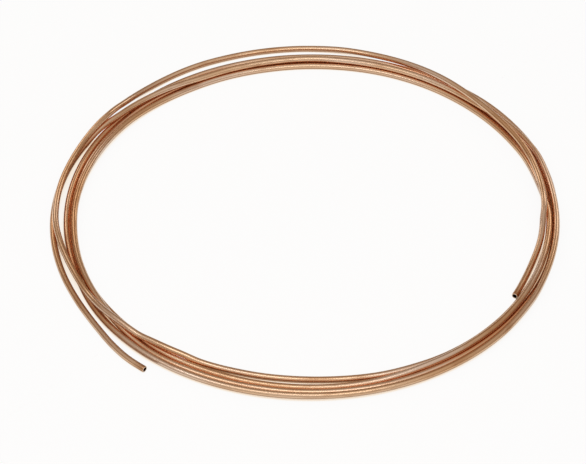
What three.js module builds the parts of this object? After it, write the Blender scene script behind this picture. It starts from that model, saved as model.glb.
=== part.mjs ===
import * as THREE from "three";

// One loose coil of soft copper tube, lying flat. Units are millimetres, +Z is up,
// and the origin is under the middle of the coil, on the floor.

// ---- driving sizes ----
const TUBE_OD = 6.35; // quarter-inch refrigeration tube
const TUBE_WALL = 0.76;
const COIL_MEAN_RADIUS = 246.3; // the circle all the turns are laid around
const TURNS = 4.738; // full turns between the two cut ends
const OUTER_END_ANGLE = 125; // degrees, where the outer cut end lies: 0 is +X, 90 is -Y

// ---- fineness of the mesh ----
const STATIONS_PER_TURN = 68; // a whole number keeps the facets of all turns in step
const STATIONS = Math.round(STATIONS_PER_TURN * TURNS);
const TRIANGLE_BUDGET = 12300; // a longer tube gets fewer facets round it
const BORE_FACETS = Math.floor(TRIANGLE_BUDGET / (6 * STATIONS));
const OUTSIDE_FACETS = 2 * BORE_FACETS;

// ---- the lay of the turns ----
// [degrees from +X, distance out from the mean circle, lift off the floor],
// both distances in tube diameters, so the turns keep clear of each other at any tube size.
// The tube lies free at its outer end and then climbs over the two strands inside it.
const FIRST_TURN = [
  [125, 3.86, 0], [130, 3.68, 0], [135, 3.24, 0], [140, 2.72, 0], [145, 2.38, 0],
  [150, 2.2, 0], [160, 2.09, 0], [170, 2.03, 0], [180, 1.92, 0], [190, 1.7, 0],
  [200, 1.42, 0], [204, 1.25, 0.02], [207, 0.96, 0.4], [210, 0.5, 0.86], [212, 0.18, 1.02],
  [215, -0.27, 1.09], [220, -0.56, 1.02], [225, -0.9, 1.01], [230, -1.28, 1.03],
  [235, -1.64, 0.98], [240, -1.9, 0.84], [250, -1.88, 0.82], [260, -1.76, 0.84],
  [270, -1.52, 0.9], [280, -1.42, 0.9], [290, -1.2, 0.88], [299, -1, 0.92],
  [308, -0.84, 0.94], [318, -0.5, 0.95], [327, 0.1, 1.06], [335, 0.85, 1.06],
  [341, 1.25, 1.06], [348, 1.25, 1.06], [355, 1.25, 1.06], [360, 1.33, 1.06],
  [366, 1.45, 1.05], [372, 1.55, 1.04], [378, 1.66, 1.01], [384, 1.8, 0.94],
  [389, 1.96, 0.82], [396, 2.04, 0.68], [403, 2.17, 0.54], [410, 2.2, 0.44],
  [418, 2.16, 0.36], [426, 2.15, 0.36], [434, 2.13, 0.4], [442, 2.06, 0.42],
  [450, 1.97, 0.42], [458, 1.87, 0.38], [466, 1.73, 0.31], [473, 1.62, 0.27],
  [480, 1.56, 0.28],
];
// On the floor nearly all the way round: outermost at the far side, second at the near side.
const SECOND_TURN = [
  [487.5, 1.46, 0.3], [494, 1.26, 0.26], [500, 1.02, 0.15], [510, 0.52, 0.03],
  [515, 0.21, 0], [520, -0.01, 0], [526, -0.17, 0], [533, -0.21, 0], [545, -0.22, 0],
  [560, -0.17, 0], [575, -0.17, 0], [590, -0.12, 0], [600, -0.16, 0], [611, -0.18, 0],
  [622, -0.1, 0], [632, 0.03, 0], [642, 0.25, 0], [654, 0.58, 0], [668, 1.08, 0],
  [678, 1.44, 0], [688, 1.58, 0], [698, 1.7, 0], [706, 1.66, 0], [713, 1.54, 0],
  [720, 1.35, 0], [728, 1.32, 0], [733, 1.34, 0], [738, 1.4, 0], [745, 1.37, 0],
  [751, 1.23, 0], [760, 1.18, 0], [775, 1.15, 0], [785, 1.16, 0], [793, 1.14, 0.02],
  [801, 1.07, 0.06], [810, 0.96, 0.1], [819, 0.8, 0.07], [828, 0.65, 0.03], [838, 0.54, 0],
];
// Rides on the fourth turn at the left and the right, and lies inside it at the far side.
const THIRD_TURN = [
  [847.5, 0.48, 0], [853, 0.22, 0.12], [858, 0.03, 0.5], [862, -0.15, 0.72],
  [866, -0.33, 0.88], [870, -0.5, 0.98], [876, -0.74, 1.04], [881, -0.94, 1.05],
  [888, -1.24, 1.04], [894, -1.44, 1.02], [900, -1.56, 1], [910, -1.8, 0.88],
  [920, -1.98, 0.72], [930, -2.1, 0.58], [936, -2.17, 0.48], [942, -2.28, 0.33],
  [950, -2.42, 0.08], [958, -2.56, 0], [968, -2.56, 0], [980, -2.52, 0], [988, -2.38, 0],
  [996, -2.2, 0], [1004, -1.96, 0], [1012, -1.72, 0], [1020, -1.52, 0], [1034, -1.22, 0],
  [1046, -0.92, 0], [1054, -0.72, 0.05], [1060, -0.54, 0.16], [1064, -0.5, 0.22],
  [1068, -0.47, 0.36], [1072, -0.42, 0.58], [1075, -0.3, 0.76], [1078, -0.1, 0.93],
  [1081, 0.11, 1.03], [1085, 0.26, 1.06], [1093, 0.34, 1.05], [1102, 0.44, 1.02],
  [1111, 0.52, 0.95], [1120, 0.58, 0.86], [1128, 0.5, 0.8], [1136, 0.41, 0.69],
  [1140, 0.32, 0.6], [1144, 0.22, 0.45], [1148, 0.16, 0.27], [1152, 0.12, 0.12],
  [1157, 0.07, 0.03], [1163, 0.02, 0], [1172, -0.12, 0], [1182, -0.28, 0], [1190, -0.41, 0],
  [1198, -0.5, 0],
];
// On the floor all the way round, innermost at the near side.
const FOURTH_TURN = [
  [1207.5, -0.6, 0], [1214, -0.83, 0], [1222, -0.9, 0], [1230, -0.88, 0], [1236, -0.92, 0],
  [1241, -1.07, 0], [1246, -1.19, 0], [1252, -1.24, 0], [1262, -1.25, 0], [1275, -1.23, 0],
  [1290, -1.2, 0], [1305, -1.2, 0], [1320, -1.25, 0], [1335, -1.22, 0], [1350, -1.02, 0],
  [1362, -0.8, 0], [1376, -0.45, 0], [1390, -0.14, 0], [1404, 0.14, 0], [1412, 0.34, 0],
  [1418, 0.52, 0], [1424, 0.63, 0], [1428, 0.6, 0], [1432, 0.52, 0], [1436, 0.41, 0],
  [1440, 0.32, 0], [1446, 0.29, 0], [1452, 0.28, 0], [1457, 0.16, 0], [1463, 0.11, 0],
  [1470, 0.02, 0], [1480, -0.08, 0], [1488, -0.18, 0], [1496, -0.36, 0], [1500, -0.51, 0],
  [1504, -0.7, 0], [1508, -0.84, 0], [1512, -0.98, 0], [1520, -1.38, 0], [1526, -1.62, 0],
  [1532, -1.77, 0], [1541, -1.84, 0], [1551, -1.76, 0.02], [1556, -1.52, 0.24],
  [1560, -1.24, 0.74], [1564, -0.92, 1.02],
];
// Crosses over every other strand to the outside, swings wide round the far side,
// crosses back over them and ends inside the coil on the floor.
const LAST_TURN = [
  [1568, -0.68, 1.06], [1572, -0.35, 1.02], [1575, -0.08, 1.35], [1578, 0.15, 1.6],
  [1582, 0.45, 1.62], [1586, 0.58, 1.48], [1590, 0.55, 1.18], [1597, 0.57, 1],
  [1603, 0.75, 0.82], [1609, 1.1, 0.72], [1615, 1.48, 0.9], [1621, 1.53, 0.97],
  [1627, 1.48, 1.02], [1634, 1.34, 1.04], [1640, 1.25, 1.06], [1644, 1.17, 1.22],
  [1647, 1.01, 1.52], [1650, 0.76, 1.89], [1653, 0.64, 1.95], [1657, 0.92, 1.46],
  [1660, 1.22, 0.9], [1664, 1.54, 0.45], [1669, 1.8, 0.14], [1675, 2.02, 0],
  [1682, 2.18, 0], [1692, 2.2, 0], [1702, 2.28, 0], [1712, 2.33, 0.02], [1719, 2.2, 0.18],
  [1725, 1.78, 0.44], [1730, 1.28, 0.82], [1736, 0.6, 1.38], [1742, 0.08, 1.78],
  [1748, -0.28, 1.96], [1754, -0.6, 2], [1760, -0.81, 2], [1767, -0.79, 1.94],
  [1773, -0.56, 1.8], [1778, -0.38, 1.68], [1782, -0.3, 1.6], [1786, -0.32, 1.56],
  [1790, -0.37, 1.58], [1794, -0.44, 1.73], [1798, -0.5, 1.92], [1800, -0.54, 1.89],
  [1802, -0.63, 1.77], [1804, -0.77, 1.49], [1807, -0.79, 1.1], [1810, -0.82, 0.8],
  [1813, -0.94, 0.48], [1818, -1.18, 0.1], [1824, -1.22, 0], [1831, -1.02, 0],
];
const LAY = [...FIRST_TURN, ...SECOND_TURN, ...THIRD_TURN, ...FOURTH_TURN, ...LAST_TURN];

const COPPER = new THREE.MeshStandardMaterial({
  name: "bright_copper",
  color: "#c98b5c",
  roughness: 0.25,
  metalness: 1,
});

/** Slope of column `c` of the lay at station `i`, weighted between its two neighbours. */
function laySlope(i, c) {
  const last = LAY.length - 1;
  const rise = (a) => (LAY[a + 1][c] - LAY[a][c]) / (LAY[a + 1][0] - LAY[a][0]);
  if (i === 0) return rise(0);
  if (i === last) return rise(last - 1);
  const before = LAY[i][0] - LAY[i - 1][0];
  const after = LAY[i + 1][0] - LAY[i][0];
  return (rise(i - 1) * after + rise(i) * before) / (before + after);
}

/** How far out the innermost strand of the earlier turns lies, beside the tube at `degrees`. */
function innermostOut(degrees) {
  let out = Infinity;
  for (let turn = degrees - 360; turn >= OUTER_END_ANGLE; turn -= 360) {
    out = Math.min(out, layAt(turn, 1));
  }
  return out;
}

/** The lay past its last station: on the floor, still as far inside the earlier turns. */
function layBeyond(degrees, c) {
  const last = LAY[LAY.length - 1];
  if (c === 2) return last[2];
  return last[1] + innermostOut(degrees) - innermostOut(last[0]);
}

/** Column `c` of the lay at `degrees`, on a smooth cubic through the stations. */
function layAt(degrees, c) {
  if (degrees < LAY[0][0]) return LAY[0][c] + (degrees - LAY[0][0]) * laySlope(0, c);
  if (degrees > LAY[LAY.length - 1][0]) return layBeyond(degrees, c);
  const i = Math.max(LAY.findIndex((station) => station[0] >= degrees) - 1, 0);
  const span = LAY[i + 1][0] - LAY[i][0];
  const w = (degrees - LAY[i][0]) / span;
  const keepStart = 1 + w * w * (2 * w - 3);
  const leaveStart = w * (1 - w) * (1 - w) * span;
  const reachEnd = w * w * (w - 1) * span;
  return (
    keepStart * LAY[i][c] +
    leaveStart * laySlope(i, c) +
    (1 - keepStart) * LAY[i + 1][c] +
    reachEnd * laySlope(i + 1, c)
  );
}

/** The centre line of the tube, walked at an even angle round the coil. */
class CoilPath extends THREE.Curve {
  getPoint(t, target = new THREE.Vector3()) {
    const degrees = OUTER_END_ANGLE + 360 * TURNS * t;
    const radius = COIL_MEAN_RADIUS + TUBE_OD * layAt(degrees, 1);
    const height = TUBE_OD * (0.5 + Math.max(layAt(degrees, 2), 0));
    const angle = THREE.MathUtils.degToRad(degrees);
    return target.set(radius * Math.cos(angle), -radius * Math.sin(angle), height);
  }

  getUtoTmapping(u) {
    return u;
  }
}

/** Corners of a regular polygon drawn inside a circle. */
function polygon(radius, sides) {
  const corners = [];
  for (let k = 0; k < sides; k += 1) {
    const angle = (2 * Math.PI * k) / sides;
    corners.push(new THREE.Vector2(radius * Math.cos(angle), radius * Math.sin(angle)));
  }
  return corners;
}

/** The tube's section, a ring of wall round the bore, swept along the coil. */
function copperTube() {
  const section = new THREE.Shape(polygon(TUBE_OD / 2, OUTSIDE_FACETS));
  section.holes.push(new THREE.Path(polygon(TUBE_OD / 2 - TUBE_WALL, BORE_FACETS)));
  const geometry = new THREE.ExtrudeGeometry(section, {
    steps: STATIONS,
    extrudePath: new CoilPath(),
  });
  geometry.computeBoundingBox();
  const middle = geometry.boundingBox.getCenter(new THREE.Vector3());
  geometry.translate(-middle.x, -middle.y, -geometry.boundingBox.min.z);
  const tube = new THREE.Mesh(geometry, COPPER);
  tube.name = "copper_tube";
  return tube;
}

const coil = new THREE.Group();
coil.name = "copper_tube_coil";
coil.add(copperTube());

export default coil;
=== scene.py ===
"""A loose coil of soft copper tube, lying flat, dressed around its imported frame.

Units are metres, +Z is up and the floor is at height 0. The tube is one surface: the
outline of its wall, cut ends included, carried round the route that the coil lies in.
"""

from __future__ import annotations

import logging
import math

from dataclasses import dataclass, field
from enum import Enum

import bpy
import numpy as np
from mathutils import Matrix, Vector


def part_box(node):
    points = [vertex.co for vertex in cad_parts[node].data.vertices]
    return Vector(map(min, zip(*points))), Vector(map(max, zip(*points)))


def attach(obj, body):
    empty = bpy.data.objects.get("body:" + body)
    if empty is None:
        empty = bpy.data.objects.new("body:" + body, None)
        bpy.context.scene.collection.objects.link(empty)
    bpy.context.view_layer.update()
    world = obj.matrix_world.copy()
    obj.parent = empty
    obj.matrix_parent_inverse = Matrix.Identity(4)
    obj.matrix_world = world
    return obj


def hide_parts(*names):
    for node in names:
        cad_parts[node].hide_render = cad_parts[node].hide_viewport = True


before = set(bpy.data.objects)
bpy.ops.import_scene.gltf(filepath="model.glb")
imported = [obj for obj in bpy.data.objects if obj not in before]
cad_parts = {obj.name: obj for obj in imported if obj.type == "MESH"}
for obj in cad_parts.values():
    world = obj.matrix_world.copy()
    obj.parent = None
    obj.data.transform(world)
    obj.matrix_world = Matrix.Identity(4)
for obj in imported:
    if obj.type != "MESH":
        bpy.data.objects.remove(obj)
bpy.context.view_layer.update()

log = logging.getLogger("copper_coil")

MM = 0.001
PICTURE_SIZE = (586, 464)  # pixels, wide and high

# Sockets of the Mix node, which holds a set for each kind of data.
MIX_FACTOR = 0
MIX_VALUE_A, MIX_VALUE_B = 2, 3
MIX_COLOUR_A, MIX_COLOUR_B = 6, 7
MIX_COLOUR_OUT = 2

# The lay of the turns, as listed stations: degrees round the coil, distance out
# from the mean circle and lift off the floor, both in tube diameters. 0 degrees is +X and
# 90 degrees is -Y. The first turn lies free at its outer end and then climbs over the two
# strands inside it.
FIRST_TURN = (
    (125, 3.86, 0), (130, 3.68, 0), (135, 3.24, 0), (140, 2.72, 0), (145, 2.38, 0),
    (150, 2.2, 0), (160, 2.09, 0), (170, 2.03, 0), (180, 1.92, 0), (190, 1.7, 0),
    (200, 1.42, 0), (204, 1.25, 0.02), (207, 0.96, 0.4), (210, 0.5, 0.86),
    (212, 0.18, 1.02), (215, -0.27, 1.09), (220, -0.56, 1.02), (225, -0.9, 1.01),
    (230, -1.28, 1.03), (235, -1.64, 0.98), (240, -1.9, 0.84), (250, -1.88, 0.82),
    (260, -1.76, 0.84), (270, -1.52, 0.9), (280, -1.42, 0.9), (290, -1.2, 0.88),
    (299, -1, 0.92), (308, -0.84, 0.94), (318, -0.5, 0.95), (327, 0.1, 1.06),
    (335, 0.85, 1.06), (341, 1.25, 1.06), (348, 1.25, 1.06), (355, 1.25, 1.06),
    (360, 1.33, 1.06), (366, 1.45, 1.05), (372, 1.55, 1.04), (378, 1.66, 1.01),
    (384, 1.8, 0.94), (389, 1.96, 0.82), (396, 2.04, 0.68), (403, 2.17, 0.54),
    (410, 2.2, 0.44), (418, 2.16, 0.36), (426, 2.15, 0.36), (434, 2.13, 0.4),
    (442, 2.06, 0.42), (450, 1.97, 0.42), (458, 1.87, 0.38), (466, 1.73, 0.31),
    (473, 1.62, 0.27), (480, 1.56, 0.28),
)
# On the floor nearly all the way round, second from outside at the far and near sides.
SECOND_TURN = (
    (487.5, 1.46, 0.3), (494, 1.26, 0.26), (500, 1.02, 0.15), (510, 0.52, 0.03),
    (515, 0.21, 0), (520, -0.01, 0), (526, -0.17, 0), (533, -0.21, 0), (545, -0.22, 0),
    (560, -0.17, 0), (575, -0.17, 0), (590, -0.12, 0), (600, -0.16, 0), (611, -0.18, 0),
    (622, -0.1, 0), (632, 0.03, 0), (642, 0.25, 0), (654, 0.58, 0), (668, 1.08, 0),
    (678, 1.44, 0), (688, 1.58, 0), (698, 1.7, 0), (706, 1.66, 0), (713, 1.54, 0),
    (720, 1.35, 0), (728, 1.32, 0), (733, 1.34, 0), (738, 1.4, 0), (745, 1.37, 0),
    (751, 1.23, 0), (760, 1.18, 0), (775, 1.15, 0), (785, 1.16, 0), (793, 1.14, 0.02),
    (801, 1.07, 0.06), (810, 0.96, 0.1), (819, 0.8, 0.07), (828, 0.65, 0.03),
    (838, 0.54, 0),
)
# Rides on the fourth turn at the left and the right, and lies inside it at the far side.
THIRD_TURN = (
    (847.5, 0.48, 0), (853, 0.22, 0.12), (858, 0.03, 0.5), (862, -0.15, 0.72),
    (866, -0.33, 0.88), (870, -0.5, 0.98), (876, -0.74, 1.04), (881, -0.94, 1.05),
    (888, -1.24, 1.04), (894, -1.44, 1.02), (900, -1.56, 1), (910, -1.8, 0.88),
    (920, -1.98, 0.72), (930, -2.1, 0.58), (936, -2.17, 0.48), (942, -2.28, 0.33),
    (950, -2.42, 0.08), (958, -2.56, 0), (968, -2.56, 0), (980, -2.52, 0),
    (988, -2.38, 0), (996, -2.2, 0), (1004, -1.96, 0), (1012, -1.72, 0), (1020, -1.52, 0),
    (1034, -1.22, 0), (1046, -0.92, 0), (1054, -0.72, 0.05), (1060, -0.54, 0.16),
    (1064, -0.5, 0.22), (1068, -0.47, 0.36), (1072, -0.42, 0.58), (1075, -0.3, 0.76),
    (1078, -0.1, 0.93), (1081, 0.11, 1.03), (1085, 0.26, 1.06), (1093, 0.34, 1.05),
    (1102, 0.44, 1.02), (1111, 0.52, 0.95), (1120, 0.58, 0.86), (1128, 0.5, 0.8),
    (1136, 0.41, 0.69), (1140, 0.32, 0.6), (1144, 0.22, 0.45), (1148, 0.16, 0.27),
    (1152, 0.12, 0.12), (1157, 0.07, 0.03), (1163, 0.02, 0), (1172, -0.12, 0),
    (1182, -0.28, 0), (1190, -0.41, 0), (1198, -0.5, 0),
)
# On the floor until its last few degrees, and innermost at the near side.
FOURTH_TURN = (
    (1207.5, -0.6, 0), (1214, -0.83, 0), (1222, -0.9, 0), (1230, -0.88, 0),
    (1236, -0.92, 0), (1241, -1.07, 0), (1246, -1.19, 0), (1252, -1.24, 0),
    (1262, -1.25, 0), (1275, -1.23, 0), (1290, -1.2, 0), (1305, -1.2, 0),
    (1320, -1.25, 0), (1335, -1.22, 0), (1350, -1.02, 0), (1362, -0.8, 0),
    (1376, -0.45, 0), (1390, -0.14, 0), (1404, 0.14, 0), (1412, 0.34, 0), (1418, 0.52, 0),
    (1424, 0.63, 0), (1428, 0.6, 0), (1432, 0.52, 0), (1436, 0.41, 0), (1440, 0.32, 0),
    (1446, 0.29, 0), (1452, 0.28, 0), (1457, 0.16, 0), (1463, 0.11, 0), (1470, 0.02, 0),
    (1480, -0.08, 0), (1488, -0.18, 0), (1496, -0.36, 0), (1500, -0.51, 0),
    (1504, -0.7, 0), (1508, -0.84, 0), (1512, -0.98, 0), (1520, -1.38, 0),
    (1526, -1.62, 0), (1532, -1.77, 0), (1541, -1.84, 0), (1551, -1.76, 0.02),
    (1556, -1.52, 0.24), (1560, -1.24, 0.74), (1564, -0.92, 1.02),
)
# Crosses over every other strand to the outside, swings wide round the far side,
# crosses back over them and ends inside the coil on the floor.
LAST_TURN = (
    (1568, -0.68, 1.06), (1572, -0.35, 1.02), (1575, -0.08, 1.35), (1578, 0.15, 1.6),
    (1582, 0.45, 1.62), (1586, 0.58, 1.48), (1590, 0.55, 1.18), (1597, 0.57, 1),
    (1603, 0.75, 0.82), (1609, 1.1, 0.72), (1615, 1.48, 0.9), (1621, 1.53, 0.97),
    (1627, 1.48, 1.02), (1634, 1.34, 1.04), (1640, 1.25, 1.06), (1644, 1.17, 1.22),
    (1647, 1.01, 1.52), (1650, 0.76, 1.89), (1653, 0.64, 1.95), (1657, 0.92, 1.46),
    (1660, 1.22, 0.9), (1664, 1.54, 0.45), (1669, 1.8, 0.14), (1675, 2.02, 0),
    (1682, 2.18, 0), (1692, 2.2, 0), (1702, 2.28, 0), (1712, 2.33, 0.02),
    (1719, 2.2, 0.18), (1725, 1.78, 0.44), (1730, 1.28, 0.82), (1736, 0.6, 1.38),
    (1742, 0.08, 1.78), (1748, -0.28, 1.96), (1754, -0.6, 2), (1760, -0.81, 2),
    (1767, -0.79, 1.94), (1773, -0.56, 1.8), (1778, -0.38, 1.68), (1782, -0.3, 1.6),
    (1786, -0.32, 1.56), (1790, -0.37, 1.58), (1794, -0.44, 1.73), (1798, -0.5, 1.92),
    (1800, -0.54, 1.89), (1802, -0.63, 1.77), (1804, -0.77, 1.49), (1807, -0.79, 1.1),
    (1810, -0.82, 0.8), (1813, -0.94, 0.48), (1818, -1.18, 0.1), (1824, -1.22, 0),
    (1831, -1.02, 0),
)


# ---------------------------------------------------------------------------
# Small helpers
# ---------------------------------------------------------------------------


def linear_colour(hex_code: str) -> tuple[float, float, float, float]:
    """Turns an sRGB colour into the linear colour that a shader socket takes.

    Args:
        hex_code: the colour as "#rrggbb".

    Returns:
        Red, green, blue and a full alpha, each from 0 to 1.
    """
    shares = [int(hex_code[at : at + 2], 16) / 255 for at in (1, 3, 5)]
    red, green, blue = (
        c / 12.92 if c <= 0.04045 else ((c + 0.055) / 1.055) ** 2.4 for c in shares
    )
    return (red, green, blue, 1.0)


def add_node(
    tree: bpy.types.NodeTree,
    kind: str,
    settings: dict[str, object] | None = None,
    inputs: dict[str | int, object] | tuple[object, ...] = (),
) -> bpy.types.Node:
    """Adds one shader node with its settings, its constants and what feeds it.

    Args:
        tree: the node tree that takes the node.
        kind: the node's Blender type name.
        settings: attribute names of the node and their values.
        inputs: a constant or the socket that feeds it for each socket, by the socket's
            name or number, or as a plain row for the node's first sockets.

    Returns:
        The new node.
    """
    node = tree.nodes.new(kind)
    for name, value in (settings or {}).items():
        setattr(node, name, value)
    by_socket = inputs if isinstance(inputs, dict) else dict(enumerate(inputs))
    for name, value in by_socket.items():
        if isinstance(value, bpy.types.NodeSocket):
            tree.links.new(value, node.inputs[name])
        else:
            node.inputs[name].default_value = value
    return node


def set_ramp(node: bpy.types.Node, stops: list[tuple[float, str]]) -> None:
    """Writes a colour ramp's stops.

    Args:
        node: the Color Ramp node.
        stops: places from 0 to 1 in rising order, each with its sRGB hex colour.
    """
    elements = node.color_ramp.elements
    while len(elements) < len(stops):
        elements.new(1.0)
    for element, (place, colour) in zip(elements, stops):
        element.position = place
        element.color = linear_colour(colour)


def empty_material(name: str) -> tuple[bpy.types.Material, bpy.types.NodeTree]:
    """Makes a material whose node tree holds nothing yet.

    Args:
        name: the material's name.

    Returns:
        The material and its node tree.
    """
    material = bpy.data.materials.new(name)
    material.use_nodes = True
    material.node_tree.nodes.clear()
    return material, material.node_tree


def torus_faces(rows: int, sides: int) -> np.ndarray:
    """Lists the quads of a grid that closes on itself both ways.

    Corner (i, j) of the grid is vertex i * sides + j. Each quad joins (i, j), (i, j + 1),
    (i + 1, j + 1) and (i + 1, j), with the last row and side running back to the first.

    Args:
        rows: how many rings the grid has.
        sides: how many vertices each ring has.

    Returns:
        One row of four vertex numbers for each quad.
    """
    i, j = np.meshgrid(np.arange(rows), np.arange(sides), indexing="ij")
    after_i, after_j = (i + 1) % rows, (j + 1) % sides
    quads = (
        i * sides + j,
        i * sides + after_j,
        after_i * sides + after_j,
        after_i * sides + j,
    )
    return np.stack(quads, axis=-1).reshape(-1, 4)


def mesh_object(name: str, points: np.ndarray, faces: np.ndarray) -> bpy.types.Object:
    """Puts a surface into the scene as a smooth mesh object at the origin.

    Args:
        name: the object's name.
        points: vertex places, one row of x, y and z each.
        faces: vertex numbers, one row for each face.

    Returns:
        The new object.
    """
    mesh = bpy.data.meshes.new(name)
    mesh.from_pydata(points, [], faces)
    mesh.polygons.foreach_set("use_smooth", np.ones(len(faces), dtype=bool))
    mesh.update()
    made = bpy.data.objects.new(name, mesh)
    bpy.context.scene.collection.objects.link(made)
    return made


# ---------------------------------------------------------------------------
# Finishes
# ---------------------------------------------------------------------------


@dataclass(frozen=True)
class SkinMark:
    """One kind of mark on the tube's skin, drawn by a noise on the straightened tube."""

    length: float  # along the tube
    width: float  # round the tube
    detail: float
    offset: float = 0.0  # moves the noise, so that two marks don't fall together
    shows: tuple[float, float] = (0.0, 1.0)  # the noise where it starts and is full
    share: float = 0.0  # how much of the smudge's colour it has where it is full

    def noise(
        self, tree: bpy.types.NodeTree, place: bpy.types.NodeSocket
    ) -> bpy.types.NodeSocket:
        """Adds the noise to a node tree.

        One cell of the noise is as long as the mark's length and as wide as its width.

        Args:
            tree: the node tree of the skin's material.
            place: where on the straightened tube a point lies, in metres.

        Returns:
            The noise's value, from 0 to 1 and mostly near a half.
        """
        scaled = add_node(
            tree,
            "ShaderNodeMapping",
            inputs={
                "Vector": place,
                "Location": (self.offset, self.offset, self.offset),
                "Scale": (1 / self.length, 1 / self.width, 1 / self.width),
            },
        )
        noise = add_node(
            tree,
            "ShaderNodeTexNoise",
            inputs={"Vector": scaled.outputs[0], "Scale": 1.0, "Detail": self.detail},
        )
        return noise.outputs[0]


@dataclass(frozen=True)
class BrightAnnealedCopper:
    """Deoxidised copper tube, drawn to size, annealed bright and handled since.

    The die leaves fine lines along the tube, and the annealing leaves the skin soft and
    satin, so the eye sees soft bands of light in place of sharp ones. Air and hands have
    taken the pink shine off it unevenly: some lengths are paler, some a browner gold.
    """

    pale: str = "#e1cab7"
    clean: str = "#dfbe9e"
    warm: str = "#d9b089"
    tint_stops: tuple[float, float, float] = (0.36, 0.5, 0.64)  # of pale, clean and warm
    smudge: str = "#aa7a52"
    crevice_painted_bounce: str = "#eab58c"  # painted bounce light: a stronger tint between strands, as light there has met copper before
    fresh_cut: str = "#f2d6bd"
    crowding: float = 12 * MM  # how near other tube has to be for a place to be a crevice
    crowded: tuple[float, float] = (0.25, 0.9)  # openness of a full crevice and of none
    worked_length: float = 14 * MM  # what the cutter's rollers and fingers have browned
    worked_share: float = 0.8  # how much of the smudge's colour that has at the cut
    bare_depth: float = 0.3 * MM  # how far from the cut the bare metal fades out
    roughness: tuple[float, float] = (0.2, 0.32)
    rough_from: tuple[float, float] = (0.35, 0.7)  # the handling noise at those two
    line_depth: float = 0.015 * MM
    coordinates: str = "straight_tube"
    cut_distance: str = "distance_from_cut"
    # Lengths of tube that took a slightly different colour in the coil they came from.
    tint: SkinMark = SkinMark(150 * MM, 40 * MM, 1.0)
    # Where hands have been: a few finger widths long, part of the way round.
    handling: SkinMark = SkinMark(
        22 * MM, 5 * MM, 2.0, 3.1, shows=(0.52, 0.74), share=0.5
    )
    # The die's lines. Real ones are finer still; these are as fine as the eye can follow.
    draw_lines: SkinMark = SkinMark(
        120 * MM, 0.7 * MM, 3.0, 7.7, shows=(0.48, 0.7), share=0.4
    )
    # Small specks of tarnish.
    specks: SkinMark = SkinMark(
        2.6 * MM, 1.6 * MM, 1.0, 12.3, shows=(0.7, 0.8), share=0.4
    )

    def material(self) -> bpy.types.Material:
        """Builds the material.

        The tint runs from pale through clean to warm along the tube. Over it lie, in this
        order, the smudges, the specks, the die's lines, a painted bounce light between
        strands that gives them a stronger tint, the worked last of each end and the bare
        metal of the cuts. The lines press into the skin too, and smudges are a little
        rougher.

        Returns:
            The finished material, which reads the tube's straightened coordinates.
        """
        made, tree = empty_material("bright_annealed_copper")
        place = add_node(
            tree, "ShaderNodeAttribute", {"attribute_name": self.coordinates}
        ).outputs["Vector"]
        from_cut = add_node(
            tree, "ShaderNodeAttribute", {"attribute_name": self.cut_distance}
        ).outputs["Fac"]
        openness = add_node(
            tree, "ShaderNodeAmbientOcclusion", inputs={"Distance": self.crowding}
        ).outputs["AO"]
        handled = self.handling.noise(tree, place)
        specks = self.specks.noise(tree, place)
        lines = self.draw_lines.noise(tree, place)
        tint = self.tint.noise(tree, place)
        ramp = add_node(tree, "ShaderNodeValToRGB", inputs=(tint,))
        set_ramp(ramp, list(zip(self.tint_stops, (self.pale, self.clean, self.warm))))
        colour = ramp.outputs[0]
        # Each layer: the value it follows, two places of that value, how strongly the
        # layer covers at those places, and its colour.
        layers = (
            (handled, self.handling.shows, (0.0, self.handling.share), self.smudge),
            (specks, self.specks.shows, (0.0, self.specks.share), self.smudge),
            (lines, self.draw_lines.shows, (0.0, self.draw_lines.share), self.smudge),
            # painted bounce light: where other tube crowds in, the colour takes the
            # stronger tint
            (openness, self.crowded, (1.0, 0.0), self.crevice_painted_bounce),
            (from_cut, (0.0, self.worked_length), (self.worked_share, 0.0), self.smudge),
            (from_cut, (0.0, self.bare_depth), (1.0, 0.0), self.fresh_cut),
        )
        for value, places, cover, layer_colour in layers:
            amount = add_node(tree, "ShaderNodeMapRange", inputs=(value, *places, *cover))
            mixed = add_node(
                tree,
                "ShaderNodeMix",
                {"data_type": "RGBA"},
                {
                    MIX_FACTOR: amount.outputs[0],
                    MIX_COLOUR_A: colour,
                    MIX_COLOUR_B: linear_colour(layer_colour),
                },
            )
            colour = mixed.outputs[MIX_COLOUR_OUT]
        rough = add_node(
            tree, "ShaderNodeMapRange", inputs=(handled, *self.rough_from, *self.roughness)
        )
        bump = add_node(
            tree,
            "ShaderNodeBump",
            inputs={"Strength": 1.0, "Distance": self.line_depth, "Height": lines},
        )
        metal = add_node(
            tree,
            "ShaderNodeBsdfPrincipled",
            inputs={
                "Base Color": colour,
                "Metallic": 1.0,
                "Roughness": rough.outputs[0],
                "Normal": bump.outputs[0],
            },
        )
        add_node(tree, "ShaderNodeOutputMaterial", inputs={"Surface": metal.outputs[0]})
        return made


class Ray(Enum):
    """The kinds of ray that see the paper's own glow, by their Light Path socket."""

    CAMERA = "Is Camera Ray"
    GLOSSY = "Is Glossy Ray"
    TRANSMISSION = "Is Transmission Ray"


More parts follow.
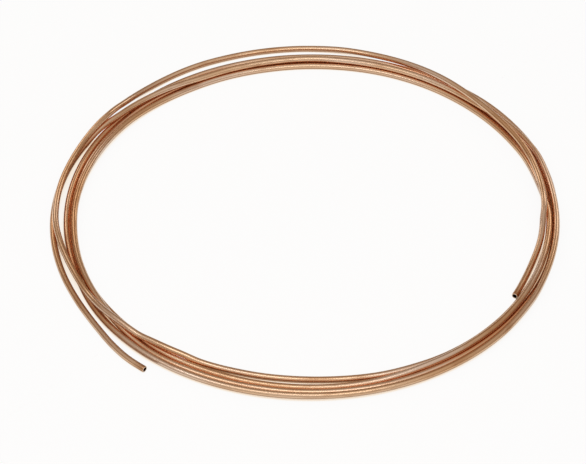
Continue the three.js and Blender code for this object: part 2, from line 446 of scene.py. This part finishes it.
@dataclass(frozen=True)
class WhiteSweep:
    """Matt white paper sweep under the coil, lit to a clean white, with its shadow."""

    glow_share: float = 0.91  # of what is seen; the rest is the lit paper
    crowding: float = 12 * MM  # how near the coil has to be for painted shade on the paper
    mirrored_painted_shade: tuple[float, float] = (0.25, 1.0)  # glow that the tube sees, near and far: painted shade in its reflection near the coil
    mirrored_at: tuple[float, float] = (0.35, 1.0)  # the paper's openness at those two
    # The paper's colour with painted shade and copper bounce light, from where the coil
    # shuts it in to where it lies open.
    paper: tuple[tuple[float, str], ...] = (
        (0.0, "#a06a3a"),
        (0.1, "#cda178"),
        (0.2, "#f6dcc0"),
        (0.33, "#fff4e4"),
        (0.42, "#ffffff"),
    )

    def material(self) -> bpy.types.Material:
        """Builds the material.

        Camera, glossy and transmission rays see mostly a glow of strength 1, which is
        white, and the rest of what they see is the lit paper, which holds the shadow.
        Close to the coil, and most in its narrow gaps, shade and copper-coloured bounce
        light are painted into both, as the light that reaches the paper there has come
        off the copper, and the glow that the tube mirrors is painted darker there.

        Returns:
            The finished material.
        """
        made, tree = empty_material("white_paper_sweep")
        openness = add_node(
            tree, "ShaderNodeAmbientOcclusion", inputs={"Distance": self.crowding}
        ).outputs["AO"]
        # painted shade and copper bounce light on the paper, read from its openness
        ramp = add_node(tree, "ShaderNodeValToRGB", inputs=(openness,))
        set_ramp(ramp, list(self.paper))
        colour = ramp.outputs[0]
        rays = add_node(tree, "ShaderNodeLightPath").outputs
        # painted shade in the tube's reflection: glossy rays see less glow near the coil
        shaded = add_node(
            tree,
            "ShaderNodeMapRange",
            inputs=(openness, *self.mirrored_at, *self.mirrored_painted_shade),
        )
        strength = add_node(
            tree,
            "ShaderNodeMix",
            inputs={
                MIX_FACTOR: rays[Ray.GLOSSY.value],
                MIX_VALUE_A: 1.0,
                MIX_VALUE_B: shaded.outputs[0],
            },
        )
        seen = rays[Ray.CAMERA.value]
        for ray in (Ray.GLOSSY, Ray.TRANSMISSION):
            either = add_node(
                tree, "ShaderNodeMath", {"operation": "MAXIMUM"}, (seen, rays[ray.value])
            )
            seen = either.outputs[0]
        share = add_node(
            tree, "ShaderNodeMath", {"operation": "MULTIPLY"}, (seen, self.glow_share)
        )
        paper = add_node(tree, "ShaderNodeBsdfDiffuse", inputs={"Color": colour})
        glow = add_node(
            tree,
            "ShaderNodeEmission",
            inputs={"Color": colour, "Strength": strength.outputs[0]},
        )
        mixed = add_node(
            tree,
            "ShaderNodeMixShader",
            inputs=(share.outputs[0], paper.outputs[0], glow.outputs[0]),
        )
        add_node(tree, "ShaderNodeOutputMaterial", inputs={"Surface": mixed.outputs[0]})
        return made


# ---------------------------------------------------------------------------
# The tube
# ---------------------------------------------------------------------------


@dataclass
class CoilRoute:
    """The line that the middle of the tube follows.

    A smooth cubic runs through the stations of the lay. Its slope at a station is the
    mean of the slopes on its two sides, each weighted by the other side's length.
    """

    tube_diameter: float = 6.35 * MM
    mean_radius: float = 246.3 * MM
    turns: float = 4.738
    stations: np.ndarray = field(
        default_factory=lambda: np.array(
            FIRST_TURN + SECOND_TURN + THIRD_TURN + FOURTH_TURN + LAST_TURN, float
        )
    )

    @property
    def start(self) -> float:
        """Degrees at which the outer cut end lies."""
        return float(self.stations[0, 0])

    @property
    def end(self) -> float:
        """Degrees at which the inner cut end lies."""
        return self.start + 360 * self.turns

    def slopes(self) -> np.ndarray:
        """Works out the slope of the lay at each station.

        Returns:
            One row of two slopes, out and lift, in diameters a degree, for each station.
        """
        run = np.diff(self.stations[:, :1], axis=0)
        rise = np.diff(self.stations[:, 1:], axis=0) / run
        middle = (rise[:-1] * run[1:] + rise[1:] * run[:-1]) / (run[:-1] + run[1:])
        return np.concatenate([rise[:1], middle, rise[-1:]])

    def points(self, degrees: np.ndarray) -> np.ndarray:
        """Places the centre line at the angles given.

        With w the share of the way between two stations, out and lift are the cubic
        a (1 - k) + m w (1 - w)^2 + n w^2 (w - 1) + b k, where k = w^2 (3 - 2 w), a and b
        are the values at the two stations, and m and n their slopes times the span. The
        radius is the mean radius plus out diameters, and the height is half a diameter
        plus lift diameters, with no lift taken below zero.

        Args:
            degrees: angles round the coil, rising.

        Returns:
            One row of x, y and z for each angle, about the middle of the mean circle.
        """
        at = np.searchsorted(self.stations[:, 0], degrees, side="right") - 1
        at = np.clip(at, 0, len(self.stations) - 2)
        near, far = self.stations[at], self.stations[at + 1]
        slopes = self.slopes()
        span = (far[:, 0] - near[:, 0])[:, None]
        w = (degrees[:, None] - near[:, :1]) / span
        leave = 1 + w * w * (2 * w - 3)
        lay = (
            near[:, 1:] * leave
            + far[:, 1:] * (1 - leave)
            + slopes[at] * span * w * (1 - w) ** 2
            + slopes[at + 1] * span * w * w * (w - 1)
        )
        radius = self.mean_radius + self.tube_diameter * lay[:, 0]
        height = self.tube_diameter * (0.5 + np.maximum(lay[:, 1], 0))
        angle = np.radians(degrees)
        return np.stack([radius * np.cos(angle), -radius * np.sin(angle), height], 1)


@dataclass
class CopperTube:
    """The whole coil: one tube of quarter-inch soft copper with two plain cut ends."""

    name: str = "copper_tube_coil"
    node: str = "copper_tube"
    route: CoilRoute = field(default_factory=CoilRoute)
    wall: float = 0.76 * MM
    rolled_edge: float = 0.5 * MM  # how far back from the cut the cutter's wheel presses
    rolled_depth: float = 0.14 * MM  # how far in it presses the outside near the cut
    burr: float = 0.09 * MM  # stands into the bore at the cut
    # The edge the wheel leaves, from the plain outside to the cut face: shares of
    # rolled_edge back from the cut, and shares of rolled_depth in from the outside.
    edge_curve: tuple[tuple[float, float], ...] = (
        (1.0, 0.0),
        (0.6, 0.18),
        (0.3, 0.5),
        (0.1, 1.0),
        (0.0, 1.7),
    )
    face_ring: float = 0.3  # where a ring crosses the cut face, in walls out from the bore
    # The burr, from the cut face to the plain bore: shares of rolled_edge back from the
    # cut, and shares of the burr's height.
    burr_curve: tuple[tuple[float, float], ...] = (
        (0.0, 0.0),
        (0.04, 1.0),
        (0.3, 0.8),
        (0.8, 0.2),
        (1.4, 0.0),
    )
    plain_bore: float = 1.0 * MM  # how far in from the cut the bore's even rings start
    outside_step: float = 1.0  # degrees between rings on the outside
    bore_step: float = 3.0  # degrees between rings in the bore
    sides: int = 36
    route_points: int = 6001  # how finely the route is measured
    finish: BrightAnnealedCopper = field(default_factory=BrightAnnealedCopper)

    @property
    def outer_radius(self) -> float:
        """Half the tube's diameter."""
        return self.route.tube_diameter / 2

    def outline(self, length: float) -> np.ndarray:
        """Draws the tube's wall as it looks in a straight tube cut along its middle.

        The outline runs along the outside, turns in over the rolled edge of the far cut,
        crosses the cut face and its burr, comes back along the bore and closes over the
        near cut, which mirrors the far one.

        Args:
            length: the tube's length.

        Returns:
            One row for each ring: how far along the tube it lies, and its radius.
        """
        bore = self.outer_radius - self.wall
        edge = np.array(self.edge_curve) * (self.rolled_edge, -self.rolled_depth)
        burr = np.array(self.burr_curve) * (self.rolled_edge, -self.burr)
        face = (0.0, bore + self.face_ring * self.wall)
        cut = np.vstack([edge + (0.0, self.outer_radius), face, burr + (0.0, bore)])
        sweep = self.route.end - self.route.start
        rings = round(sweep / self.outside_step)
        bores = round(sweep / self.bore_step)
        along = np.linspace(self.rolled_edge, length - self.rolled_edge, rings)[1:-1]
        back = np.linspace(length - self.plain_bore, self.plain_bore, bores)
        outside = np.stack([along, np.full_like(along, self.outer_radius)], 1)
        inside = np.stack([back, np.full_like(back, bore)], 1)
        far_cut = np.stack([length - cut[:, 0], cut[:, 1]], 1)
        return np.concatenate([outside, far_cut, inside, cut[::-1]])

    def surface(self) -> tuple[np.ndarray, np.ndarray]:
        """Carries the wall's outline round the route.

        A point is the centre line at that length, plus the radius times the side way
        times the cosine of the angle round the tube, plus the radius times the upright
        way times its sine. The side way is level and square to the tube, and the upright
        way is square to both.

        Returns:
            The points in the route's place, and the same points on a straightened tube
            that lies along X, each one row of x, y and z.
        """
        fine = np.linspace(self.route.start, self.route.end, self.route_points)
        line = self.route.points(fine)
        steps = np.linalg.norm(np.diff(line, axis=0), axis=1)
        travelled = np.concatenate([[0.0], np.cumsum(steps)])
        tangent = np.gradient(line, travelled, axis=0)
        outline = self.outline(float(travelled[-1]))
        along, radius = outline[:, 0], outline[:, 1]

        def at_length(values: np.ndarray) -> np.ndarray:
            """Reads rows given along the fine line at the outline's lengths."""
            return np.stack([np.interp(along, travelled, v) for v in values.T], 1)

        centre, ahead = at_length(line), at_length(tangent)
        ahead /= np.linalg.norm(ahead, axis=1, keepdims=True)
        side = np.cross(ahead, (0.0, 0.0, 1.0))
        side /= np.linalg.norm(side, axis=1, keepdims=True)
        upright = np.cross(side, ahead)
        round_tube = np.arange(self.sides) * (2 * np.pi / self.sides)
        cos, sin = np.cos(round_tube)[None, :, None], np.sin(round_tube)[None, :, None]
        ring = side[:, None] * cos + upright[:, None] * sin
        points = centre[:, None] + radius[:, None, None] * ring
        level, high = radius[:, None] * cos[..., 0], radius[:, None] * sin[..., 0]
        straight = np.stack(np.broadcast_arrays(along[:, None], level, high), axis=-1)
        return points.reshape(-1, 3), straight.reshape(-1, 3)

    def build(self) -> bpy.types.Object:
        """Makes the tube, centres it on its CAD solid and dresses it.

        Returns:
            The tube's object, riding on the coil's body in place of the CAD node.
        """
        points, straight = self.surface()
        low, high = (np.array(corner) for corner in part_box(self.node))
        middle = (points.max(0) + points.min(0)) / 2
        points[:, :2] += ((low + high) / 2 - middle)[:2]
        # As they are listed the quads face into the wall, so each is taken backwards.
        faces = torus_faces(len(points) // self.sides, self.sides)[:, ::-1]
        tube = mesh_object(self.name, points, faces)
        self.dress(tube, straight)
        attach(tube, "root")
        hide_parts(self.node)
        length = straight[:, 0].max()
        log.info("%s: %d faces, %.3f m of tube", self.name, len(faces), length)
        return tube

    def dress(self, tube: bpy.types.Object, straight: np.ndarray) -> None:
        """Gives the tube its finish and the two attributes that the finish reads.

        A point's distance from the cut is its way along the tube from the nearer end.

        Args:
            tube: the tube's object.
            straight: the tube's points on a straightened tube that lies along X.
        """
        place = tube.data.attributes.new(
            self.finish.coordinates, "FLOAT_VECTOR", "POINT"
        )
        place.data.foreach_set("vector", straight.astype(np.float32).ravel())
        from_cut = tube.data.attributes.new(self.finish.cut_distance, "FLOAT", "POINT")
        nearest = np.minimum(straight[:, 0], straight[:, 0].max() - straight[:, 0])
        from_cut.data.foreach_set("value", nearest.astype(np.float32))
        tube.data.materials.append(self.finish.material())


# ---------------------------------------------------------------------------
# The studio
# ---------------------------------------------------------------------------


@dataclass(frozen=True)
class SoftBox:
    """One oblong area lamp, aimed at the middle of the coil."""

    name: str
    azimuth: float  # degrees round from the camera's side, to the right
    elevation: float  # degrees above the floor
    distance: float
    size: tuple[float, float]  # across and up
    power: float  # watts
    colour: str = "#ffffff"

    def place(self) -> bpy.types.Object:
        """Adds the lamp to the scene.

        Returns:
            The lamp's object.
        """
        lamp = bpy.data.lights.new(self.name, "AREA")
        lamp.shape = "RECTANGLE"
        lamp.size, lamp.size_y = self.size
        lamp.energy = self.power
        lamp.color = linear_colour(self.colour)[:3]
        made = bpy.data.objects.new(self.name, lamp)
        turn, rise = math.radians(self.azimuth), math.radians(self.elevation)
        made.location = (
            self.distance * math.cos(rise) * math.sin(turn),
            -self.distance * math.cos(rise) * math.cos(turn),
            self.distance * math.sin(rise),
        )
        made.rotation_euler = (math.pi / 2 - rise, 0.0, turn)
        bpy.context.scene.collection.objects.link(made)
        return made


@dataclass
class Studio:
    """The floor, the lamps, the world's soft fill and the camera."""

    floor_half_width: float = 15.0
    # The fill comes mostly from above and in front, and is dimmer and warmer low down.
    # Each row holds the cosine of the angle from its middle, and its colour there.
    fill_elevation: float = 60.0  # degrees above the floor of the fill's middle
    fill: tuple[tuple[float, str], ...] = (
        (0.0, "#98826c"),
        (0.35, "#b09a86"),
        (0.7, "#d7cdc4"),
        (1.0, "#f6f4f2"),
    )
    # A strip over the front draws the long highlight on each strand. The two boxes at
    # the far side light the left and the right of the coil, which the strip leaves dull.
    lamps: tuple[SoftBox, ...] = (
        SoftBox("soft_box_over_front", -16, 62, 1.15, (1.3, 0.18), 2.1),
        SoftBox("soft_box_far_right", 143, 30, 2.6, (1.0, 1.0), 4.3, "#fff6ee"),
        SoftBox("soft_box_far_left", -148, 30, 2.6, (1.0, 1.0), 3.8, "#fff6ee"),
    )
    view_centre: tuple[float, float, float] = (1.763 * MM, -1.134 * MM, 3.175 * MM)
    view_elevation: float = 43.2  # degrees
    view_distance: float = 2.663
    focal_pixels: float = 2600.0  # the focal length in pixels of the picture
    centre_pixel: tuple[float, float] = (306.3, 211.5)  # where the view's centre falls
    sensor_width: float = 36.0  # millimetres, as Blender has it
    sweep: WhiteSweep = field(default_factory=WhiteSweep)

    def lay_floor(self) -> bpy.types.Object:
        """Lays the white sweep level under the coil.

        Returns:
            The floor's object.
        """
        w = self.floor_half_width
        corners = np.array([(-w, -w, 0), (w, -w, 0), (w, w, 0), (-w, w, 0)], float)
        floor = mesh_object("white_sweep", corners, np.array([(0, 1, 2, 3)]))
        floor.data.materials.append(self.sweep.material())
        return floor

    def light(self) -> None:
        """Sets the lamps and the world's fill.

        The fill's colour in a direction is read off its ramp at the cosine of the angle
        between that direction and the fill's middle.
        """
        for lamp in self.lamps:
            lamp.place()
        world = bpy.data.worlds.new("studio_fill")
        bpy.context.scene.world = world
        world.use_nodes = True
        tree = world.node_tree
        tree.nodes.clear()
        direction = add_node(tree, "ShaderNodeTexCoord").outputs["Generated"]
        rise = math.radians(self.fill_elevation)
        middle = (0.0, -math.cos(rise), math.sin(rise))
        cosine = add_node(
            tree,
            "ShaderNodeVectorMath",
            {"operation": "DOT_PRODUCT"},
            (direction, middle),
        )
        level = add_node(tree, "ShaderNodeValToRGB", inputs=(cosine.outputs["Value"],))
        set_ramp(level, list(self.fill))
        fill = add_node(
            tree,
            "ShaderNodeBackground",
            inputs={"Color": level.outputs[0], "Strength": 1.0},
        )
        add_node(tree, "ShaderNodeOutputWorld", inputs={"Surface": fill.outputs[0]})

    def point_camera(self) -> bpy.types.Object:
        """Sets the camera in front of the coil, looking down on it.

        The focal length is the focal pixels over the picture's width, times the sensor's
        width. The shift puts the view's centre on its pixel.

        Returns:
            The camera's object.
        """
        width, height = PICTURE_SIZE
        across, down = self.centre_pixel
        data = bpy.data.cameras.new("view")
        data.sensor_fit = "HORIZONTAL"
        data.sensor_width = self.sensor_width
        data.lens = self.focal_pixels / width * self.sensor_width
        data.shift_x = (width / 2 - across) / width
        data.shift_y = (down - height / 2) / width
        camera = bpy.data.objects.new("view", data)
        rise = math.radians(self.view_elevation)
        x, y, z = self.view_centre
        camera.location = (
            x,
            y - self.view_distance * math.cos(rise),
            z + self.view_distance * math.sin(rise),
        )
        camera.rotation_euler = (math.pi / 2 - rise, 0.0, 0.0)
        bpy.context.scene.collection.objects.link(camera)
        bpy.context.scene.camera = camera
        return camera

    def build(self) -> None:
        """Sets up the whole studio."""
        self.lay_floor()
        self.light()
        self.point_camera()
        view = bpy.context.scene.view_settings
        view.view_transform = "Standard"
        log.info("studio: %d lamps, camera at %.3f m", len(self.lamps), self.view_distance)


def main() -> None:
    """Builds the coil and the studio around it, in order."""
    logging.basicConfig(level=logging.INFO, format="%(name)s: %(message)s")
    CopperTube().build()
    Studio().build()


if __name__ == "__main__":
    main()
